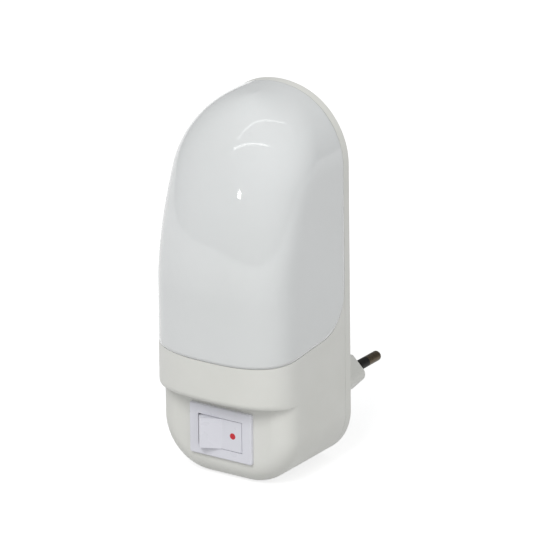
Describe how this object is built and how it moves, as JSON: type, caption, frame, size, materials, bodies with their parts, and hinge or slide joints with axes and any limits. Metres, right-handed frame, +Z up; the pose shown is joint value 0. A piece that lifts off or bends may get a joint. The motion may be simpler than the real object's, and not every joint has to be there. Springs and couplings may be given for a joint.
{
  "type": "plug in night light",
  "caption": "Wall night light with a two-pin plug behind, an arched back plate, a milky slide-on hood over a small screw lamp, and a rocker switch below the hood.",
  "frame": {"origin": "middle of the plug's end face, between the pins", "axes": "+Z up, +Y into the socket along the pins, -Y the front with the switch, +X right seen from the front"},
  "size_m": [0.0588, 0.1014, 0.1466],
  "materials": {
    "ivory_plastic": "satin",
    "plug_plastic": "satin",
    "diffuser_plastic": "glossy, milky",
    "switch_plastic": "satin",
    "red_mark": "glossy",
    "black_sleeve": "matte",
    "pin_metal": "dull nickel over brass",
    "contact_brass": "bare",
    "screw_steel": "zinc plated",
    "spring_steel": "bright",
    "holder_plastic": "matte",
    "cap_metal": "satin",
    "bulb_glass": "clear",
    "stem_glass": "clear",
    "insulator_glass": "glossy",
    "solder": "dull",
    "filament_metal": "dull",
    "wire_brown": "satin",
    "wire_blue": "satin"
  },
  "bodies": {
    "casing": {"back_plate": "ivory_plastic", "front_housing": "ivory_plastic", "plug_insert": "plug_plastic", "plug_pin_right": "pin_metal", "plug_pin_left": "pin_metal", "pin_sleeve_right": "black_sleeve", "pin_sleeve_left": "black_sleeve", "pin_terminals": "contact_brass", "housing_screws": "screw_steel", "holder_screws": "screw_steel", "lampholder_body": "holder_plastic", "holder_shell": "contact_brass", "holder_contact": "contact_brass", "switch_body": "switch_plastic", "switch_terminals": "contact_brass", "wire_live_pin": "wire_brown", "wire_switched": "wire_brown", "wire_neutral": "wire_blue"},
    "hood": {"diffuser": "diffuser_plastic"},
    "lamp": {"lamp_contact": "solder", "lamp_insulator": "insulator_glass", "lamp_cap": "cap_metal", "lamp_glass": "bulb_glass", "lamp_stem": "stem_glass", "lamp_filament": "filament_metal"},
    "rocker": {"switch_rocker": "switch_plastic", "rocker_dot": "red_mark", "switch_plunger": "contact_brass", "switch_spring": "spring_steel"},
    "contact_blade": {"switch_contact": "contact_brass"}
  },
  "joints": [
    {"name": "rocker_tilt", "type": "hinge", "parent": "casing", "child": "rocker", "pos_m": [0, -0.0699, -0.0027], "axis": [0, 0, 1], "range_deg": [-24, 0]},
    {"name": "contact_rock", "type": "hinge", "parent": "casing", "child": "contact_blade", "pos_m": [0, -0.06195, -0.0027], "axis": [0, 0, 1], "range_deg": [0, 16]},
    {"name": "hood_slide", "type": "slide", "parent": "casing", "child": "hood", "axis": [0, 0, 1], "range_m": [0, 0.09]},
    {"name": "lamp_slide", "type": "slide", "parent": "casing", "child": "lamp", "axis": [0, 0, 1], "range_m": [0, 0.016]}
  ],
  "couplings": [
    {"joint": "contact_rock", "follows": "rocker_tilt", "ratio": -0.66667}
  ]
}
